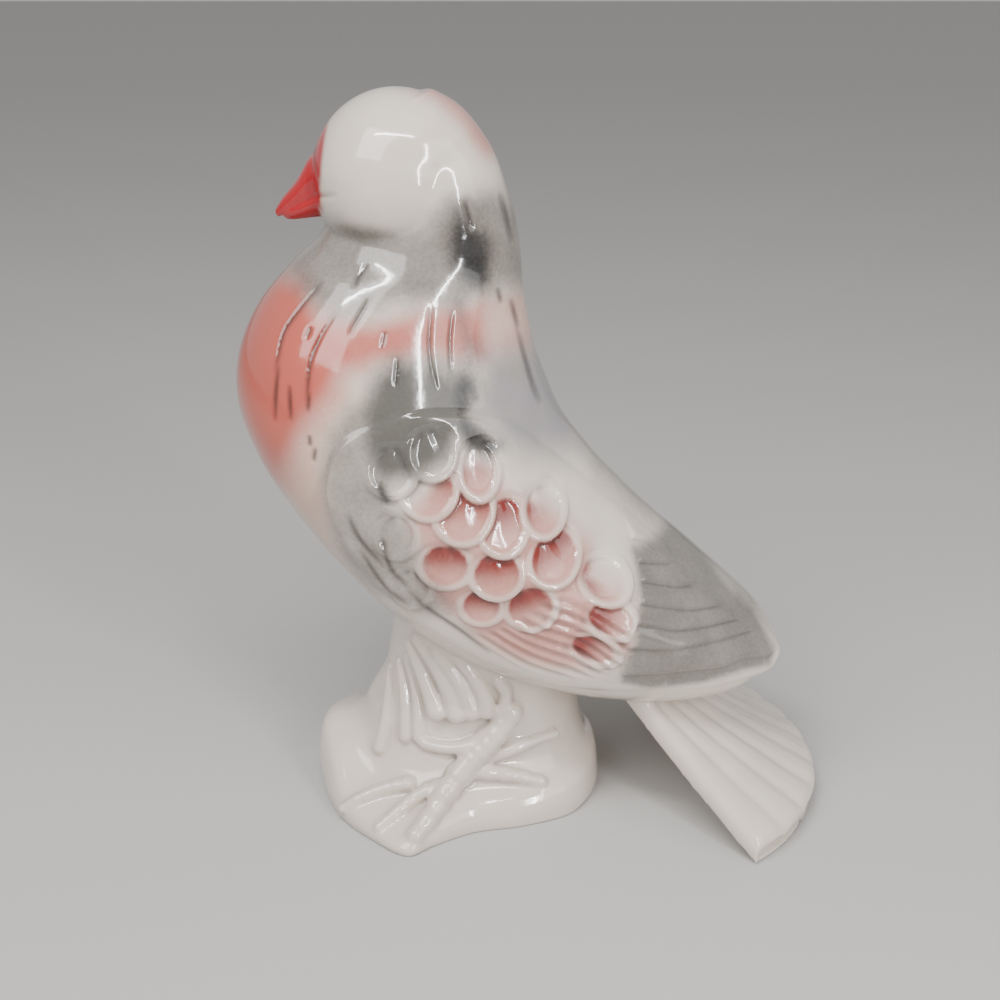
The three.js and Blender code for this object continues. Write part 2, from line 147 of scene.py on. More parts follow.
body = {
    "stations": [  # breast edge x, z, back edge x, z, half width
        (-32, 224, -22, 227.3, 5), (-39, 220, -13, 222.8, 13), (-44.5, 212, -4, 212.8, 17.5),
        (-47.5, 202, 1.6, 201.2, 20.5), (-50.5, 193, 5, 189.5, 21), (-54, 185.5, 6.5, 179, 22.5),
        (-62.5, 177.5, 7, 170, 27.5), (-73, 165.5, 8.5, 161.5, 33.5), (-79.5, 152, 10.5, 152, 38.5),
        (-81, 138.5, 14, 142.5, 42), (-77.5, 124.5, 20, 129, 44), (-68.5, 107, 29, 117, 45),
        (-56, 89.5, 41.5, 103.5, 45), (-40.5, 71.5, 54, 92, 43.5), (-18, 54, 66, 81.5, 41),
        (12, 42, 77, 71.5, 37), (40, 37, 86, 62, 30.5), (60, 37, 91, 54, 23), (74, 40, 92.5, 47.5, 13),
    ],
    "napeFullness": -0.2,  # below 0 the sections are narrower on the breast side
    "breastFullness": 0.16,
    "jawBlend": 1.0,  # mm, how softly the head runs into the neck under the cheeks
    "napeBlend": 10.0,  # mm, the same behind and over the head
    "steps": 190,
    "rounds": 170,
}
head = {"centre": (-30.8, 203.8), "length": 24.3, "half": 24.5, "height": 24.8, "lean": 12}
upperBeak = [  # top edge x, z, mouth edge x, z, half width
    (-47, 213, -47, 199.5, 7), (-55, 209.5, -54.5, 197.5, 6.2), (-60, 202, -60, 194.8, 4.6),
    (-64.5, 196.6, -64, 191.8, 2.8), (-67, 193, -66.2, 190.4, 1.2),
]
lowerBeak = [
    (-47, 206, -47, 191, 6.6), (-54.5, 203.5, -54, 191, 6), (-60, 199, -60, 190.2, 4.3),
    (-64.2, 195, -63.8, 190, 2.4),
]


# Ovals between a front and a back edge: cosine runs from back to front, sine across the bird, and the
# sections grow fuller towards the front by fullness times the cosine.
def ovalRings(stations, steps, rounds, fullness=None):
    share = np.linspace(0, 1, steps)
    row = smoothLine(stations, share)
    front, back, half = row[:, 0:2], row[:, 2:4], row[:, 4:5]
    centre = (front + back) / 2
    angle = np.linspace(0, 2 * np.pi, rounds, endpoint=False)
    along = (front - centre)[:, None] * np.cos(angle)[None, :, None]
    lean = 0 if fullness is None else fullness(share)[:, None] * np.cos(angle)
    across = half * np.sin(angle) * (1 + lean)
    x = centre[:, None, 0] + along[..., 0]
    z = centre[:, None, 1] + along[..., 1]
    return np.stack([x, across, z], -1), np.stack([centre[:, 0], centre[:, 0] * 0, centre[:, 1]], -1)


# The body's ovals, pushed out along their own rays to where the head's ball lies, so that crown and nape
# run over in one skin while the cheeks still overhang the neck.
def bodyForm():
    def fullness(share):
        return blend(body["napeFullness"], body["breastFullness"], smoothStep(share, 0.2, 0.4))

    rings, centre = ovalRings(body["stations"], body["steps"], body["rounds"], fullness)
    offset = rings - centre[:, None]
    radius = np.linalg.norm(offset, axis=-1, keepdims=True)
    ray = offset / np.maximum(radius, 1e-6)
    start, way = inBall(centre)[:, None], inBall(ray, False)
    a = (way**2).sum(-1)
    b = (start * way).sum(-1)
    c = (start**2).sum(-1) - 1
    reach = np.where(c < 0, (-b + np.sqrt(np.clip(b * b - a * c, 0, None))) / a, 0)
    x, z = rings[..., 0], rings[..., 2]
    behind = np.maximum(smoothStep(x, -22, -4), smoothStep(z, 205, 217))
    width = blend(body["jawBlend"], body["napeBlend"], behind)
    return skinOf(centre[:, None] + ray * smoothMax(radius[..., 0], reach, width)[..., None])


# Places in the head's own frame, where its ball is the unit sphere.
def inBall(places, moved=True):
    lean = math.radians(head["lean"])
    x, y, z = np.moveaxis(places - (np.array([head["centre"][0], 0, head["centre"][1]]) if moved else 0), -1, 0)
    along = x * math.cos(lean) - z * math.sin(lean)
    upward = x * math.sin(lean) + z * math.cos(lean)
    return np.stack([along / head["length"], y / head["half"], upward / head["height"]], -1)


# The head's ball: rings of a sphere, stretched to its three half sizes and leaned forward.
def headForm():
    lean = math.radians(head["lean"])
    fall = np.linspace(0.02, np.pi - 0.02, 90)[:, None]
    turn = np.linspace(0, 2 * np.pi, 160, endpoint=False)
    along = head["length"] * np.sin(fall) * np.cos(turn)
    across = head["half"] * np.sin(fall) * np.sin(turn)
    upward = head["height"] * np.cos(fall) + 0 * turn
    x = head["centre"][0] + along * math.cos(lean) + upward * math.sin(lean)
    z = head["centre"][1] - along * math.sin(lean) + upward * math.cos(lean)
    return skinOf(np.stack([x, across, z], -1))


def beakForm(stations):
    rings, _ = ovalRings(stations, 50, 48)
    return skinOf(rings)


# Wings

wing = {
    "shoulder": (-38, 118),
    "tip": (91, 44),
    "crest": (46.3, 48.7, 47.5, 42.5, 32, 15),  # distance of the face from the mid-plane along its axis
    "reach": (92, 54, 34.5, 26, 19.5, 10),  # how far above the axis the dome meets the mid-plane
    "fall": 0.0068,
    "low": [
        (-50, 119), (-48.5, 111), (-45, 102), (-38, 91.5), (-29, 81.5), (-18, 72), (-4, 63), (12, 55.5),
        (30, 51.5), (48, 49), (64, 47), (78, 46.5), (87, 47.5), (91.5, 50.5),
    ],
    "high": [
        (-50, 123), (-47.5, 132), (-42, 138), (-32, 142), (-17, 143), (0, 138), (14, 126), (28, 113),
        (42, 100), (55, 88), (67, 77), (79, 66), (87.5, 58), (91.5, 52),
    ],
    "depth": 16,
    "edge": 2.4,  # mm, how far in its edge is rounded
}


# Distance of the wing's face from the mid-plane: a dome over the axis from shoulder to tip, whose height
# falls as a power of the distance above the axis, and slowly as its square below it.
def flank(x, z):
    (sx, sz), (tx, tz) = wing["shoulder"], wing["tip"]
    rx, rz = tx - sx, tz - sz
    length = math.hypot(rx, rz)
    share = np.clip(((x - sx) * rx + (z - sz) * rz) / length**2, 0, 1)
    above = ((z - sz) * rx - (x - sx) * rz) / length
    crest = smoothValue(wing["crest"], share)
    up = np.clip(above / smoothValue(wing["reach"], share), 0, 1)
    return np.where(above < 0, crest - wing["fall"] * above**2, crest * (1 - up**1.6) ** 0.75)


# The wing panel: lines from its lower to its upper edge laid on the face, with both edges rounded over.
def wingForm():
    share = np.linspace(0, 1, 190)
    row = (1 - np.cos(np.linspace(0, np.pi, 64))) / 2
    low = smoothLine(wing["low"], share)[:, None]
    high = smoothLine(wing["high"], share)[:, None]
    across = low + (high - low) * row[None, :, None]
    x, z = across[..., 0], across[..., 1]
    width = np.linalg.norm(high - low, axis=-1)
    margin = np.minimum(row, 1 - row) * width
    edge = wing["edge"]
    inset = edge - np.sqrt(edge**2 - (edge - np.minimum(margin, edge)) ** 2)
    face = np.stack([x, inset - flank(x, z), z], -1)
    inside = face[:, [-1, 0]] + [0, wing["depth"], 0]
    return skinOf(np.concatenate([face, inside], 1))


# Tail

tail = {
    "hub": 36, "reach": 71, "spread": 52, "rootReach": 5, "rootHalf": 22, "rootHeight": 41,
    "thick": 8, "dip": 1, "feathers": 9, "groove": 1.2, "edge": 2.6,
}


# A place on the fan: straight lines from an arc at the rump to a wider arc on the table, with a slight dip.
def fanPlace(share, side, lift):
    spread = math.radians(tail["spread"]) * side
    rootX = tail["hub"] + tail["rootReach"] * np.cos(spread)
    rootY = tail["rootHalf"] * side
    endX = tail["hub"] + tail["reach"] * np.cos(spread)
    endY = tail["reach"] * np.sin(spread)
    z = tail["rootHeight"] * (1 - share) - tail["dip"] * 4 * share * (1 - share)
    fan = np.broadcast_arrays(rootX + (endX - rootX) * share, rootY + (endY - rootY) * share, z + lift)
    return np.stack(fan, -1)


# The fan tail: each feather is a low arch between two valleys, split by a fine quill line, and the slab's
# rim is rounded over.
def tailForm():
    share = 1 - (1 - np.linspace(0, 1, 90)[:, None]) ** 1.4
    side = np.linspace(-1, 1, 361)[None, :]
    feather = (side + 1) / 2 * tail["feathers"] % 1
    arch = tail["groove"] * (2 * feather - 1) ** 2
    quill = 0.5 * np.exp(-(((feather - 0.5) * tail["reach"] * 0.18 * (0.3 + share)) ** 2) / 0.12)
    edge = tail["edge"]
    margin = np.minimum((1 - share) * tail["reach"], (1 - np.abs(side)) * (14 + 44 * share))
    inset = edge - np.sqrt(edge**2 - (edge - np.clip(margin, 0, edge)) ** 2)
    over = fanPlace(share, side, tail["thick"] - arch - quill * smoothStep(share, 0.1, 0.3) - inset)
    under = fanPlace(share, side[:, ::-6], 0.0 * share)
    return skinOf(np.concatenate([over, under], 1))


# Base, legs and feet

base = {
    "rim": [  # x, y and the height of the side wall
        (-61, 3, 22), (-59, -12, 18), (-51.5, -30, 9), (-39.5, -43.5, 6), (-29, -51, 5), (-21.5, -46, 6.5),
        (-9, -38.5, 8.5), (8, -34.5, 9.5), (23, -27.5, 11), (31.5, -13.5, 12), (33, 0, 14), (31, 14, 14),
        (22, 29, 12), (5, 37, 11), (-12, 42, 9), (-29, 51, 6), (-43, 42, 9), (-55, 24, 17),
    ],
    "rise": [(1, 0, 0), (1.02, 0.45, 0), (0.94, 0.86, 0), (0.78, 1, 0.04), (0.38, 1, 0.22), (0.12, 1, 0.55)],
    "column": [(32, -9, 35, 25), (42, -6.5, 32, 24), (53, -4, 32, 26), (66, 0, 34, 30)],  # z, x, half sizes
    "rounds": 200,
}


# The base: the ground outline rises in a rounded wall, runs in over the top and sweeps up into the column.
# out is the share of the way from the column to the rim, up the share of the wall's height.
def baseForm():
    rim = smoothLine(base["rim"], np.arange(base["rounds"]) / base["rounds"], closed=True)
    x, y, wall = rim.T
    low = base["column"][0]

    def columnRing(level):
        z, middle, long, half = level
        angle = np.arctan2(y / half, (x - low[1]) / long)
        return np.stack([middle + long * np.cos(angle), half * np.sin(angle), np.full_like(x, z)], -1)

    inner = columnRing(low)
    rings = []
    for out, up, rise in base["rise"]:
        z = wall * up + (low[0] - wall) * rise
        rings.append(np.stack([inner[:, 0] + (x - inner[:, 0]) * out, inner[:, 1] + (y - inner[:, 1]) * out, z], -1))
    rings += [columnRing(level) for level in base["column"]]
    return skinOf(smoothLine(rings, np.linspace(0, 1, 90)))


legs = {
    # Places on a leg are x, distance from the mid-plane, z. Folds run down the thigh and end in plumes.
    "plumes": [
        ([(-36, 8.5, 45), (-36.6, 12, 37), (-37.5, 16, 28.5), (-39.5, 18.5, 20)], 2.5),
        ([(-33, 12.5, 49), (-31.6, 16, 42), (-30.7, 19, 34), (-30.7, 21.3, 26)], 2.3),
        ([(-30.5, 15, 52), (-28, 18, 44), (-26.5, 21, 35.5), (-26.4, 23.3, 27)], 2.2),
        ([(-29.5, 15.5, 57.5), (-25.5, 19.5, 49), (-22.3, 22.2, 42), (-20.3, 24.5, 37)], 3.4),
        ([(-27, 18.2, 60), (-20.1, 22.8, 51.4), (-15.7, 24.5, 42.6), (-14, 25.8, 37)], 3.4),
        ([(-20.5, 22.8, 57.5), (-14.7, 24.6, 50.3), (-10.8, 25.2, 43.1), (-9.2, 26, 37.8)], 3.2),
        ([(-12.9, 25.3, 55.5), (-8.3, 25.6, 49.9), (-5, 25.8, 43.2), (-4.4, 26, 38.5)], 3.2),
    ],
    "cuff": [
        (-24.5, 24.5, 25.2), (-19.9, 26.5, 25), (-14.5, 27.5, 25.2), (-8.6, 27.3, 27), (-2.7, 26, 31.7),
        (0.4, 25, 37.3), (2, 24.3, 43.3), (-0.5, 25, 48.2),
    ],
    "cuffRadius": 2,
    "shank": [(3.5, 24, 36), (-3, 27, 28), (-9.5, 29, 21.5), (-13.5, 31, 17.5)],
    "shankRadius": 3.8,
    "toes": [  # line, radius, number of knuckles
        ([(-30, 30, 13.5), (-38, 30, 11.5), (-45.5, 31.5, 9), (-51, 32, 5.5)], 2.4, 7),
        ([(-17, 32, 14.5), (-25.5, 34, 12.3), (-32.5, 38.5, 8.6), (-38.5, 42, 5)], 2.6, 8),
        ([(-13, 30, 17), (-18, 35, 12.5), (-22, 41.5, 9), (-26.5, 47, 5.5)], 4.2, 4),
        ([(-9, 29, 18), (-2, 29, 17), (6, 28.5, 15.3), (13.5, 28, 13)], 2.8, 4),
        ([(-8, 27.5, 20.5), (0, 26.5, 22.5), (9.8, 23.5, 25), (18.2, 19, 25.6)], 2.3, 2),
    ],
}


# A round bar along a smooth line, closed by half balls. radiusAt gives its radius at each share of its run.
def barForm(points, radiusAt, steps=60, rounds=28):
    line = np.asarray(points, float) * [1, -1, 1]
    share = np.linspace(0, 1, steps)
    centre = smoothLine(line, share)
    tangent = np.gradient(centre, axis=0)
    tangent /= np.linalg.norm(tangent, axis=1, keepdims=True)
    radius = radiusAt(share)
    cap = np.linspace(0, np.pi / 2 - 0.15, 7)
    head_, foot = cap[:0:-1], cap[1:]
    centre = np.concatenate([
        centre[0] - tangent[0] * radius[0] * np.sin(head_)[:, None], centre,
        centre[-1] + tangent[-1] * radius[-1] * np.sin(foot)[:, None],
    ])
    tangent = np.concatenate([np.repeat(tangent[:1], 6, 0), tangent, np.repeat(tangent[-1:], 6, 0)])
    radius = np.concatenate([radius[0] * np.cos(head_), radius, radius[-1] * np.cos(foot)])
    side = np.cross(tangent, [0, 0, 1.0])
    side /= np.linalg.norm(side, axis=1, keepdims=True)
    over = np.cross(side, tangent)
    angle = np.linspace(0, 2 * np.pi, rounds, endpoint=False)[None, :, None]
    round_ = side[:, None] * np.cos(angle) + over[:, None] * np.sin(angle)
    return skinOf(centre[:, None] + round_ * radius[:, None, None])


def legForms():
    forms = [barForm(line, lambda s, r=radius: r * (0.5 + 0.5 * s)) for line, radius in legs["plumes"]]
    forms.append(barForm(legs["cuff"], lambda s: legs["cuffRadius"] + 0 * s, 110))

    def scutes(s):
        return legs["shankRadius"] * (1 + 0.05 * np.cos(s * 8 * 2 * np.pi))

    forms.append(barForm(legs["shank"], scutes, 120))
    for line, radius, knuckles in legs["toes"]:
        def knuckled(s, r=radius, n=knuckles):
            return r * (1 - 0.35 * s) * (1 + 0.09 * np.cos(s * n * 2 * np.pi))

        forms.append(barForm(line, knuckled, 120))
    return forms


# One skin

cast = {
    "voxel": 0.56,  # mm
    "softRounds": 7,  # how often the joined skin is relaxed, which leaves the soft fillets of a slip cast
    "triangles": 188000,
}


def meshOf(name, places, faces):
    mesh = bpy.data.meshes.new(name)
    mesh.vertices.add(len(places))
    mesh.vertices.foreach_set("co", np.asarray(places, np.float32).ravel())
    mesh.loops.add(faces.size)
    mesh.loops.foreach_set("vertex_index", np.asarray(faces, np.int32).ravel())
    mesh.polygons.add(len(faces))
    mesh.polygons.foreach_set("loop_start", np.arange(len(faces), dtype=np.int32) * faces.shape[1])
    mesh.update(calc_edges=True)
    return mesh


def showObject(name, mesh):
    piece = bpy.data.objects.new(name, mesh)
    bpy.context.scene.collection.objects.link(piece)
    return piece


# The mesh that an object's modifiers make. The object is used up.
def finished(piece):
    bpy.context.view_layer.update()
    mesh = bpy.data.meshes.new_from_object(piece.evaluated_get(bpy.context.evaluated_depsgraph_get()))
    rough = piece.data
    bpy.data.objects.remove(piece)
    bpy.data.meshes.remove(rough)
    return mesh


def placesOf(mesh, what="co"):
    values = np.empty(len(mesh.vertices) * 3, np.float32)
    if what == "co":
        mesh.vertices.foreach_get("co", values)
    else:
        mesh.vertex_normals.foreach_get("vector", values)
    return values.reshape(-1, 3).astype(float)


# All forms joined into one closed skin by a voxel remesh.
def joined(forms):
    counts = np.cumsum([0] + [len(places) for places, _ in forms])
    places = np.concatenate([places for places, _ in forms])
    faces = np.concatenate([faces + start for (_, faces), start in zip(forms, counts)])
    rough = showObject("rough_cast", meshOf("rough_cast", places, faces))
    remesh = rough.modifiers.new("one_skin", "REMESH")
    remesh.mode = "VOXEL"
    remesh.voxel_size = cast["voxel"]
    remesh.adaptivity = 0
    return finished(rough)


# Moves each vertex half way to the mean of its neighbours, times its weight.
def relaxed(places, edges, rounds, weight=1.0):
    count = len(places)
    links = np.bincount(edges.ravel(), minlength=count)[:, None]
    for _ in range(rounds):
        total = np.stack([
            np.bincount(edges[:, 0], places[edges[:, 1], k], count)
            + np.bincount(edges[:, 1], places[edges[:, 0], k], count) for k in range(3)
        ], 1)
        places = places + 0.5 * weight * (total / links - places)
    return places


# Carving, as heights over the skin in millimetres

coverts = [  # centre x, z, turn towards the tail in degrees, half width, half length; lowest layer first
    (28, 69, 60, 6.5, 11), (33, 79, 60, 7, 11), (31, 90.5, 52, 7, 11), (-26.5, 91, -8, 8, 8),
    (-5.5, 85.5, 5, 8, 7.5), (9, 85, 18, 9, 9), (-16, 99, 0, 9.5, 8.5), (-1, 96, 8, 9, 9),
    (16, 99, 22, 9, 9), (-30, 108, -6, 7.5, 8.5), (1, 110, 8, 8.5, 10), (13, 112, 22, 7.5, 9),
    (-10.5, 115, -4, 10, 10.5), (-20.5, 121.5, 2, 9.5, 9.5), (-6, 126, 6, 7, 10), (-31, 127.5, 0, 8.5, 9),
    (-19.5, 132, 14, 8, 9),
]
covert = {"ribbon": 2.4, "root": -1.1, "tip": 1.3, "dish": 1.0, "lobes": 0.28, "step": 0.8}

flightLines = [  # lower edges of the long feathers, x and z
    [(36, 99), (44.4, 95.5), (52, 93)],
    [(36, 94), (44.4, 90.7), (53.3, 87.4), (59.2, 86.2)],
    [(36, 90), (44.7, 86.5), (54.7, 82), (64, 79.4)],
    [(36, 85), (43.2, 81.9), (49, 79.4), (59, 75.4), (73.3, 71.5)],
    [(36, 79.5), (43, 76.5), (53.7, 72.1), (63.9, 69.8), (69.6, 68.5), (80.6, 65.5)],
    [(36, 70.5), (39.2, 69.5), (52.1, 67.1), (62, 66.3), (73, 64.3), (84.5, 61.4)],
    [(36, 59), (42.9, 58.6), (55.9, 58.5), (67.7, 57), (76.4, 57.2), (86.3, 53.7)],
    [(36, 46), (60, 45), (90, 44)],
]
flightEdge = [(38, 103), (40.5, 96.7), (43.2, 88.7), (42.1, 78.6), (38.5, 70.3), (37, 62), (38, 50)]
flight = {"root": -0.6, "tip": 0.9}

folds = {  # long feathers between the coverts and the flight feathers
    "outline": [(-9, 75), (4, 80), (17, 90), (28, 84), (40, 76), (39, 64), (30, 58), (18, 58), (4, 63)],
    "way": (0.524, 0.852),
    "pitch": 3.4,
    "height": 0.55,
}

neckLines = [
    [(-50.7, 176.8), (-55.6, 171.7), (-60, 166.5), (-62.5, 162.5), (-64, 156.1), (-65, 152)],
    [(-46.4, 170), (-50, 165), (-52.5, 160.5), (-54, 156.4), (-54.7, 150.6), (-55.1, 143.6)],
    [(-36.8, 173.5), (-39.5, 169.7), (-41.9, 165.9), (-42.5, 163.7)],
    [(-53.9, 165.7), (-55.4, 162.4)],
    [(-38, 181.9), (-40.4, 178.6), (-41.6, 176)],
    [(-19.6, 170.8), (-20.2, 161.6), (-19.6, 155.2), (-18.1, 148)],
    [(-13.5, 169.6), (-14.4, 161), (-14.1, 152.2)],
    [(-32.4, 165.3), (-33.6, 160.3)],
    [(-29, 158.3), (-29.6, 150.3)],
    [(-10.2, 200.3), (-8.7, 194.7), (-7.8, 191)],
    [(-0.1, 200.2), (1.8, 192.8), (3.7, 184.9)],
    [(-0.7, 173.7), (0.5, 168.4)],
    [(3.1, 169.5), (5.7, 159.3)],
    [(5.1, 160.7), (7.1, 152.8), (9.7, 143.7), (12.4, 137)],
    [(-63.6, 155.1), (-64.7, 146.2), (-65, 138.7)],
    [(-60.3, 150), (-60.1, 139.7)],
    [(-54.4, 149), (-54.8, 143)],
    [(-54.6, 136.8), (-54.5, 133)],
    [(-52.9, 133.1), (-53.7, 128.5)],
]
wingLines = [
    [(-50.9, 116.7), (-49.3, 107.6), (-42.6, 99.3), (-34, 89.8)],
    [(-34.2, 107.3), (-31.8, 96.6), (-26.9, 90.2)],
    [(-43.8, 114.4), (-41, 106.7), (-33.7, 97.2)],
    [(-27.5, 90.1), (-20, 82.8), (-12.4, 76.8), (-2.7, 67.8)],
    [(-41.1, 103.1), (-33.9, 90.5), (-26.3, 84.6)],
]
mouthLine = [(-46, 201), (-52, 199), (-57, 196.6), (-62.5, 193.8)]


# A fine cut along each line, deepest in its middle and running out at both ends, 0 to 1.
def cutAlong(x, z, lines, width):
    cut = np.zeros(x.shape)
    for line in lines:
        smooth = smoothLine(line, np.linspace(0, 1, 4 * len(line)))
        away, share = nearLine(x, z, smooth)
        runOut = np.clip(4 * share * (1 - share), 0, 1) ** 0.5
        cut = np.maximum(cut, np.exp(-((away / width) ** 2)) * runOut)
    return cut


# Where each place lies on the side of the bird: 1 on the wing panel's face, 0 off it.
def onWing(x, y, z):
    outline = wing["low"] + wing["high"][::-1]
    near = (x > -55) & (x < 96) & (z > 42) & (z < 148)
    on = np.zeros(x.shape)
    depth = depthInside(x[near], z[near], outline)
    proud = np.abs(y[near]) - flank(x[near], z[near])
    on[near] = smoothStep(depth, 0.5, 3) * smoothStep(proud, -5, -2.5)
    return on


# Rounded feathers laid one over the other: each is an oval whose height climbs from root to tip, with a
# flat raised ribbon along its rim and a dished, softly lobed middle. Gives the height, how much of it is
# ribbon, and how deep in a pit under the next feather it lies.
def covertRelief(x, z):
    height, ribbon, pit = np.zeros(x.shape), np.zeros(x.shape), np.zeros(x.shape)
    for cx, cz, turn, wide, long in coverts:
        lean = math.radians(turn)
        down = (x - cx) * math.sin(lean) - (z - cz) * math.cos(lean)
        side = (x - cx) * math.cos(lean) + (z - cz) * math.sin(lean)
        reach = np.hypot(side / wide, down / long)
        margin = (1 - reach) * min(wide, long)
        shown = smoothStep(margin, 0, covert["step"]) * smoothStep(1 + down / long, 0.02, 0.45)
        rim = 1 - smoothStep(margin, covert["ribbon"] - 0.5, covert["ribbon"] + 0.5)
        climb = (1 + down / long) / 2
        fan = np.arctan2(side, down + 1.15 * long)
        lobes = covert["lobes"] * np.cos(fan * 9) * (1 - climb * 0.5)
        middle = (1 - rim) * (lobes - covert["dish"] * np.clip(1 - reach**2, 0, 1))
        own = blend(covert["root"], covert["tip"], climb) + middle
        height = blend(height, own, shown)
        ribbon = blend(ribbon, rim * smoothStep(climb, 0.1, 0.4), shown)
        pit = blend(pit, (1 - rim) * smoothStep(0.75 - climb, 0, 0.45), shown)
    return height, ribbon, pit


# Which flight feather a place lies on: a number that grows by one from each lower edge to the next below.
def flightCount(x, z):
    levels = np.stack([np.interp(x, *np.array(line).T) for line in flightLines])
    count = np.zeros(x.shape)
    for upper, lower in zip(levels[:-1], levels[1:]):
        count += np.clip((upper - z) / np.maximum(upper - lower, 0.5), 0, 1)
    return count


# 1 behind the coverts' rear edge, where the long flight feathers show.
def onFlight(x, z):
    edge = np.interp(-z, *(np.array(flightEdge)[:, ::-1] * [-1, 1]).T)
    return smoothStep(x - edge, -0.4, 0.6)


def carving(places, normals):
    x, y, z = places.T
    across = np.abs(y)
    sideways = smoothStep(np.abs(normals[:, 1]), 0.15, 0.4)
    wingShare = onWing(x, y, z)
    height = np.zeros(x.shape)
    on = wingShare > 0
    wx, wz = x[on], z[on]
    coverHeight, _, _ = covertRelief(wx, wz)
    behind = onFlight(wx, wz)
    count = flightCount(wx, wz)
    part = count % 1
    bands = blend(flight["root"], flight["tip"], part**0.8) * smoothStep(part, 0, 0.12)
    bands += flight["tip"] * (1 - smoothStep(part, 0, 0.12))
    inFolds = smoothStep(depthInside(wx, wz, folds["outline"]), -1, 2.5)
    wave = (wx * folds["way"][0] + wz * folds["way"][1]) / folds["pitch"] + 0.25 * np.sin(wx / 5)
    ridge = folds["height"] * (1 - np.abs(np.sin(wave * np.pi)) * 2)
    coverHeight = coverHeight + ridge * inFolds
    coverHeight -= 0.5 * cutAlong(wx, wz, wingLines, 0.6)
    height[on] = blend(coverHeight, bands, behind) * wingShare[on]
    high = z > 125
    height[high] -= 0.55 * (cutAlong(x[high], z[high], neckLines, 0.55) * sideways[high])
    beak = x < -46
    height[beak] -= 0.7 * cutAlong(x[beak], z[beak], [mouthLine], 0.8) * (z[beak] > 186)
    return height + unevenness(x, across, z)


# The slow swell of a hand-finished cast: a few crossed waves, each longer than 12 mm.
def unevenness(x, y, z):
    swell = np.sin(x / 7.1 + 1.3 * np.sin(z / 11)) * np.sin(z / 6.3 + y / 9 + 0.8)
    swell += 0.7 * np.sin(x / 4.1 - z / 5.3) * np.sin(y / 4.7 + z / 9.1)
    return 0.1 * swell


# Builds the bird's skin, in millimetres on the drawing.
def castSkin():
    side = [wingForm()] + legForms()
    forms = [bodyForm(), headForm(), beakForm(upperBeak), beakForm(lowerBeak), tailForm(), baseForm()]
    skin = joined(forms + side + [mirrored(form) for form in side])
    print("joined skin", len(skin.vertices), "vertices")
    edges = np.empty(len(skin.edges) * 2, np.int32)
    skin.edges.foreach_get("vertices", edges)
    edges = edges.reshape(-1, 2)
    places = relaxed(placesOf(skin), edges, cast["softRounds"])
    skin.vertices.foreach_set("co", places.astype(np.float32).ravel())
    skin.update()
    normals = placesOf(skin, "normal")
    places = places + normals * carving(places, normals)[:, None]
    places = relaxed(places, edges, 1)
    places[:, 2] = np.maximum(places[:, 2], 0)
    # How far each place lies in a hollow, which the material darkens as painted shade.
    hollow = ((relaxed(places, edges, 12) - places) * normals).sum(1)
    skin.vertices.foreach_set("co", places.astype(np.float32).ravel())
    skin.update()
    skin.attributes.new("hollow", "FLOAT", "POINT").data.foreach_set("value", hollow.astype(np.float32))
    print("carved skin", skin.vertices[0].co)
    return skin


# Thins the carved skin, and shades the thinner one with the normals of the full one.
def thinned(skin):
    skin.polygons.foreach_set("use_smooth", np.ones(len(skin.polygons), bool))
    full = showObject("full_skin", skin)
    thin = showObject("thin_skin", skin.copy())
    cut = thin.modifiers.new("thinner", "DECIMATE")
    cut.ratio = cast["triangles"] / (2 * len(skin.polygons))
    shade = thin.modifiers.new("same_shading", "DATA_TRANSFER")
    shade.object = full
    shade.use_loop_data = True
    shade.data_types_loops = {"CUSTOM_NORMAL"}
    shade.loop_mapping = "POLYINTERP_NEAREST"
    mesh = finished(thin)
    bpy.data.objects.remove(full)
    print("thinned skin", len(mesh.polygons), "faces")
    return mesh


skin = thinned(castSkin())
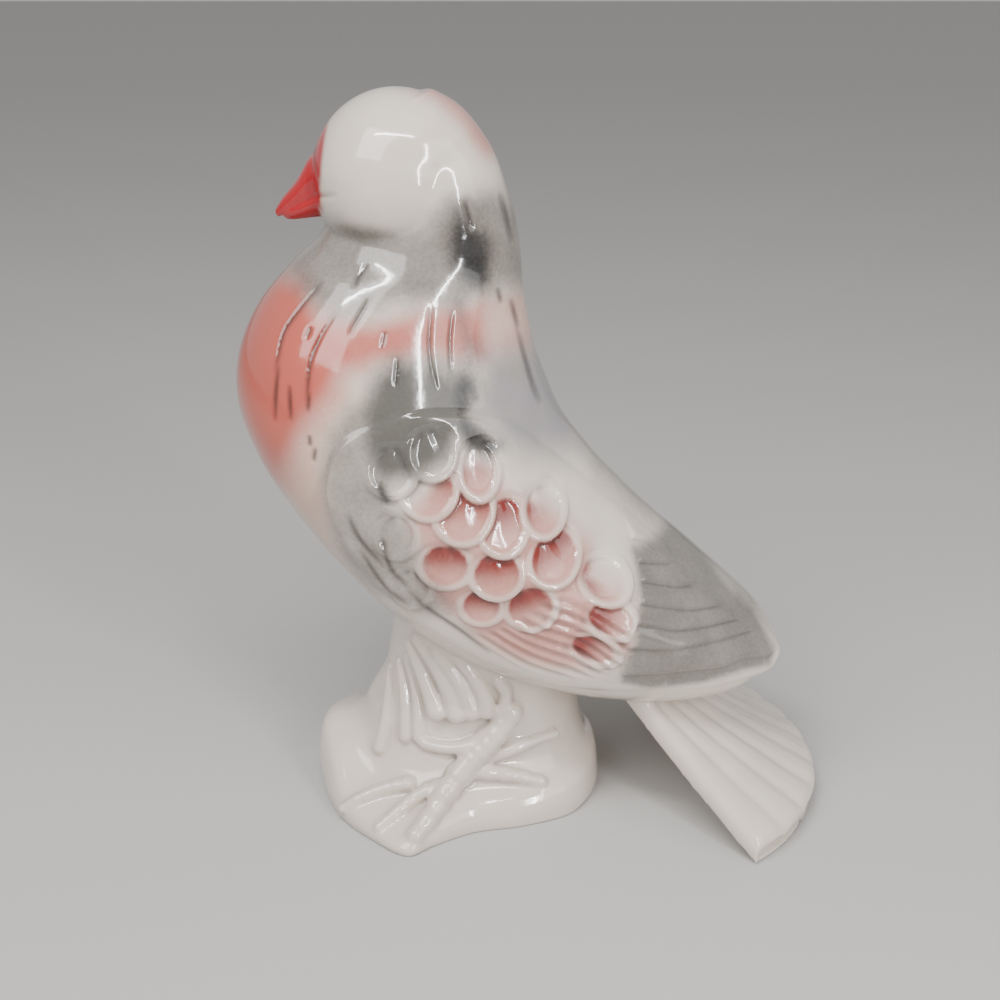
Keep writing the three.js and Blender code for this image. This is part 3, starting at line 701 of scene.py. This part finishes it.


# Air-brushed colour, as how much of each underglaze lies on the skin, with painted shade in the coverts' pits and the
# neck's pearl lustre painted in as a sheen

zones = [  # underglaze, strength, softness in mm, outline x and z
    ("smoke", 0.72, 4.5, [
        (-58, 190), (-46, 193), (-42, 192), (-34, 190), (-27, 189), (-21, 190), (-16, 194), (-13, 201),
        (-7, 202), (-1, 201), (4, 197), (16, 196), (18, 169), (6, 171), (1, 173), (-6, 172), (-15, 170),
        (-21, 172), (-30, 172), (-38, 169), (-43, 168), (-52, 170), (-66, 177),
    ]),
    ("smoke", 0.5, 3, [
        (-44, 192), (-36, 192), (-29, 190), (-23, 193), (-18, 198), (-14, 201), (-11, 198), (-14, 192),
        (-21, 189), (-29, 187), (-37, 188), (-45, 188),
    ]),
    ("ink", 0.9, 3.5, [
        (-12, 196), (-8, 192), (-4, 190), (-2, 185), (-3, 177), (-5, 174), (-9, 175), (-12, 178), (-14, 182),
        (-14, 189),
    ]),
    ("ink", 0.55, 3, [
        (-13, 172), (-11, 172), (-9, 163), (-6, 159), (-6, 148), (-9, 144), (-11, 145), (-11, 158),
    ]),
    ("smoke", 0.95, 4.5, [
        (-39, 144), (-36, 153), (-30, 158), (-18, 156), (-11, 153), (-6, 146), (-10, 141), (-5, 136),
        (0, 131), (-3, 128), (-9, 132), (-12, 135), (-14, 129), (-24, 125), (-34, 123), (-38, 128),
        (-40, 136),
    ]),
    ("ink", 0.85, 1.8, [
        (-11, 152), (-6, 146), (-10, 141), (-5, 136), (0, 131), (-3, 129), (-9, 132), (-12, 138), (-13, 145),
    ]),
    ("ink", 0.8, 1.2, [(-36, 124), (-33, 123), (-31, 119), (-33, 117)]),
    ("rose", 0.85, 4, [
        (-45, 166), (-36, 167), (-20, 170), (-9, 170), (-5, 170), (-4, 155), (-12, 156), (-18, 158),
        (-27, 158), (-39, 157), (-42, 160),
    ]),
    ("rose", 0.4, 4, [(-5, 171), (7, 170), (16, 150), (6, 153), (-5, 155)]),
    ("rose", 1.0, 6, [
        (-70, 177), (-57, 177), (-52, 170), (-44, 167), (-38, 160), (-39, 156), (-44, 154), (-47, 148),
        (-51, 143), (-55, 139), (-60, 129), (-65, 116), (-90, 104), (-95, 150), (-86, 172),
    ]),
    ("peach", 0.8, 7, [
        (-55, 139), (-47, 148), (-42, 151), (-45, 144), (-50, 136), (-51, 123), (-51, 109), (-47, 93),
        (-39, 82), (-46, 62), (-70, 80), (-84, 108), (-63, 123), (-60, 129),
    ]),
    ("smoke", 0.62, 4, [
        (-48, 138), (-42, 146), (-39, 144), (-40, 136), (-38, 128), (-34, 123), (-31, 118), (-26, 110),
        (-23, 103), (-23, 96), (-17, 92), (-13, 85), (-21, 81), (-30, 84), (-39, 82), (-47, 92), (-50, 108),
        (-51, 124),
    ]),
    ("rose", 0.62, 4, [
        (-20, 122), (-14, 127), (-7, 128), (-2, 126), (2, 119), (6, 117), (12, 113), (20, 107), (27, 100),
        (27, 92), (36, 87), (41, 78), (39, 68), (33, 62), (18, 62), (6, 65), (-6, 73), (-13, 82), (-20, 88),
        (-24, 95), (-23, 104), (-26, 110), (-26, 115),
    ]),
    # The neck's pearl lustre, its sheen painted in as fixed pastel hues.
    ("pearlSheen", 0.85, 6, [
        (-5, 156), (6, 154), (16, 152), (20, 139), (26, 129), (34, 117), (20, 122), (9, 126), (2, 131),
        (-4, 138), (-9, 142), (-5, 146),
    ]),
    ("smoke", 0.62, 4, [
        (23, 131), (34, 120), (47, 106), (68, 86), (98, 50), (80, 66), (65, 82), (57, 90), (46, 97),
        (40, 103), (30, 114),
    ]),
    ("smoke", 0.8, 1.6, [
        (40, 95), (47, 94), (57, 92), (65, 84), (75, 72), (82, 66), (86, 59), (89, 53), (87, 50), (77, 52),
        (62, 51), (46, 52), (37, 55), (38, 64), (41, 74), (42, 82), (42, 88),
    ]),
    ("rose", 0.75, 3, [(-33, 231), (-27, 229.5), (-18, 226), (-10, 219), (-5, 211.5), (3, 207), (2, 220), (-10, 232)]),
]


def paintShares(x, y, z):
    shares = {}
    for glaze, strength, soft, outline in zones:
        depth = depthInside(x, z, outline)
        share = strength * smoothStep(depth, -soft, soft)
        shares[glaze] = 1 - (1 - shares.get(glaze, np.zeros(x.shape))) * (1 - share)
    return shares


def setValues(mesh, name, values):
    layer = mesh.attributes.get(name) or mesh.attributes.new(name, "FLOAT", "POINT")
    layer.data.foreach_set("value", np.asarray(values, np.float32))


def paintSkin(mesh):
    places = placesOf(mesh)
    x, y, z = places.T
    shares = paintShares(x, y, z)
    wingShare = onWing(x, y, z)
    _, ribbon, pit = covertRelief(x, z)
    behind = onFlight(x, z)
    count = flightCount(x, z)
    covered = wingShare * (1 - behind)
    shares["rose"] *= 1 - 0.55 * ribbon * covered
    # Painted shade: a deep wine red darkens each covert's pit under the next feather's rim.
    shares["wineShade"] = pit * covered * smoothStep(shares["rose"], 0.2, 0.6)
    shares["line"] = np.maximum(cutAlong(x, z, neckLines, 0.8) * (z > 125), cutAlong(x, z, wingLines, 1.0) * wingShare)
    shares["crimson"] = smoothStep(-51.8 - x + (z - 200) * 0.12, -0.8, 0.8) * smoothStep(z, 186, 188)
    fan = (x > 40) & (z < 46) & (wingShare < 0.3)
    shares["fan"] = fan * 1.0
    for name, values in shares.items():
        setValues(mesh, name, values)
    setValues(mesh, "flight", count)
    setValues(mesh, "flightShare", behind * wingShare)
    print("painted", ", ".join(sorted(shares)))


paintSkin(skin)


# Material

# sRGB hex to linear colour with alpha.
def colour(code):
    parts = [int(code[k:k + 2], 16) / 255 for k in (0, 2, 4)]
    return [p / 12.92 if p <= 0.04045 else ((p + 0.055) / 1.055) ** 2.4 for p in parts] + [1]


# Adds a node, sets its properties, and fills its inputs by name or number with values or other sockets.
def addNode(tree, kind, inputs=None, **settings):
    made = tree.nodes.new("ShaderNode" + kind)
    for key, value in settings.items():
        setattr(made, key, value)
    for key, value in (inputs or {}).items():
        socket = made.inputs[key]
        if isinstance(value, bpy.types.NodeSocket):
            tree.links.new(value, socket)
        else:
            socket.default_value = value
    return made


glazes = {
    "ivory": "d9cec4", "ivoryWarm": "cdbfb2", "peach": "c9a08c", "rose": "b8584a", "wineShade": "7c2a24",
    "smoke": "4d4b46", "ink": "1b1b1d", "crimson": "a3161f", "line": "2a2421", "irisPink": "e3b9b4",
    "eyeRing": "b02a1c", "pupil": "0a0d18", "sheenBlue": "7f8b90", "sheenOlive": "8b8468",
    "sheenMauve": "857d8c",
}


# Earthenware under a clear lead-type glaze: the colours lie under the gloss, so highlights stay white and
# sharp while the air-brushed edges below them are soft and speckled.
def glazedEarthenware():
    material = bpy.data.materials.new("clear_glazed_earthenware")
    material.use_nodes = True
    tree = material.node_tree
    shader = tree.nodes["Principled BSDF"]
    place = addNode(tree, "TexCoord").outputs["Object"]

    def share(name):
        return addNode(tree, "Attribute", attribute_name=name).outputs["Fac"]

    def maths(operation, a, b=0.0, c=0.0, clamp=False):
        return addNode(tree, "Math", {0: a, 1: b, 2: c}, operation=operation, use_clamp=clamp).outputs[0]

    def noise(scale, detail=3.0, rough=0.5):
        inputs = {"Vector": place, "Scale": scale, "Detail": detail, "Roughness": rough}
        return addNode(tree, "TexNoise", inputs).outputs["Fac"]

    def mix(factor, under, over, kind="MIX"):
        inputs = {0: factor, 6: under, 7: over}
        return addNode(tree, "Mix", inputs, data_type="RGBA", blend_type=kind).outputs[2]

    speck = noise(900, 4, 0.7)  # the air-brush's spatter, about 1 mm
    cloud = noise(90, 3)  # patches of about 10 mm

    # Spatter makes the edge of each colour uneven where its share is between none and full.
    def sprayed(name, amount=1.0):
        base = share(name)
        edge = maths("MULTIPLY", base, maths("SUBTRACT", 1.0, base))
        shake = maths("MULTIPLY", maths("SUBTRACT", maths("ADD", speck, cloud), 1.0), amount)
        return maths("MULTIPLY_ADD", edge, shake, base, clamp=True)

    tone = mix(cloud, colour(glazes["ivory"]), colour(glazes["ivoryWarm"]))
    tone = mix(sprayed("peach"), tone, colour(glazes["peach"]))
    tone = mix(sprayed("rose"), tone, colour(glazes["rose"]))
    # Painted sheen: the neck's pearl lustre as fixed blue, olive and mauve patches.
    pearlSheen = mix(noise(70, 2), colour(glazes["sheenBlue"]), colour(glazes["sheenOlive"]))
    pearlSheen = mix(noise(110, 2), pearlSheen, colour(glazes["sheenMauve"]))
    tone = mix(sprayed("pearlSheen"), tone, pearlSheen)
    # Painted shade in the coverts' pits.
    tone = mix(sprayed("wineShade"), tone, colour(glazes["wineShade"]))
    tone = mix(sprayed("smoke", 1.6), tone, colour(glazes["smoke"]))
    tone = mix(sprayed("ink", 1.6), tone, colour(glazes["ink"]))
    tone = mix(maths("MULTIPLY", share("line"), 0.75), tone, colour(glazes["line"]))
    # Painted shade: the colour darkens towards the line colour in the skin's hollows.
    hollowShade = addNode(tree, "MapRange", {0: share("hollow"), 1: 0.06, 2: 0.5, 3: 0.0, 4: 0.6}).outputs[0]
    tone = mix(hollowShade, tone, colour(glazes["line"]))
    tone = mix(share("crimson"), tone, colour(glazes["crimson"]))

    tree.links.new(tone, shader.inputs["Base Color"])
    shader.inputs["Roughness"].default_value = 0.12
    shader.inputs["IOR"].default_value = 1.5
    shader.inputs["Coat Weight"].default_value = 0.6
    shader.inputs["Coat Roughness"].default_value = 0.03
    ripple = addNode(tree, "Bump", {"Height": noise(160, 2), "Strength": 0.12, "Distance": 0.001})
    tree.links.new(ripple.outputs[0], shader.inputs["Normal"])
    return material


skin.transform(Matrix.Scale(mm, 4) @ Matrix.Translation((centreX, 0, 0)))
pigeon = showObject("glazed_pigeon", skin)
skin.materials.clear()
skin.materials.append(glazedEarthenware())
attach(pigeon, "root")
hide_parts("pigeon_figurine")
print("glazed")


# Floor, lights and camera

studio = {
    "floor": "b9b7b4",
    "camera": (-0.01303, -0.445, 0.280),
    "tilt": 68,
    "lens": 54,
}


def makeFloor():
    size = 4.0
    places = np.array([(-size, -size, 0), (size, -size, 0), (size, size, 0), (-size, size, 0)])
    floor = showObject("studio_floor", meshOf("studio_floor", places, np.array([[0, 1, 2, 3]])))
    material = bpy.data.materials.new("matt_studio_paper")
    material.use_nodes = True
    shader = material.node_tree.nodes["Principled BSDF"]
    shader.inputs["Base Color"].default_value = colour(studio["floor"])
    shader.inputs["Roughness"].default_value = 0.8
    floor.data.materials.append(material)


def makeLight(name, place, aim, size, power, tint="ffffff"):
    lamp = bpy.data.lights.new(name, "AREA")
    lamp.shape = "RECTANGLE"
    lamp.size, lamp.size_y = size
    lamp.energy = power
    lamp.color = colour(tint)[:3]
    holder = bpy.data.objects.new(name, lamp)
    bpy.context.scene.collection.objects.link(holder)
    holder.location = place
    holder.rotation_euler = (Vector(aim) - Vector(place)).to_track_quat("-Z", "Y").to_euler()


def makeCamera():
    lens = bpy.data.cameras.new("camera")
    lens.lens = studio["lens"]
    lens.sensor_width = 36
    lens.clip_start = 0.01
    camera = bpy.data.objects.new("camera", lens)
    camera.location = studio["camera"]
    camera.rotation_euler = (math.radians(studio["tilt"]), 0, 0)
    bpy.context.scene.collection.objects.link(camera)
    bpy.context.scene.camera = camera


makeFloor()
makeLight("soft_key", (-0.5, -0.6, 0.9), (0, 0, 0.1), (0.7, 0.7), 9)
makeLight("soft_fill", (0.8, -0.7, 0.6), (0, 0, 0.1), (0.8, 0.8), 4)
makeLight("strip_high", (-0.1, -0.35, 0.75), (0, 0, 0.12), (0.5, 0.02), 3)
makeLight("strip_tall", (0.35, -0.6, 0.35), (0, 0, 0.12), (0.02, 0.5), 3)
world = bpy.data.worlds.new("studio")
world.use_nodes = True
world.node_tree.nodes["Background"].inputs[0].default_value = colour("d8d8d8")
world.node_tree.nodes["Background"].inputs[1].default_value = 0.7
bpy.context.scene.world = world
makeCamera()
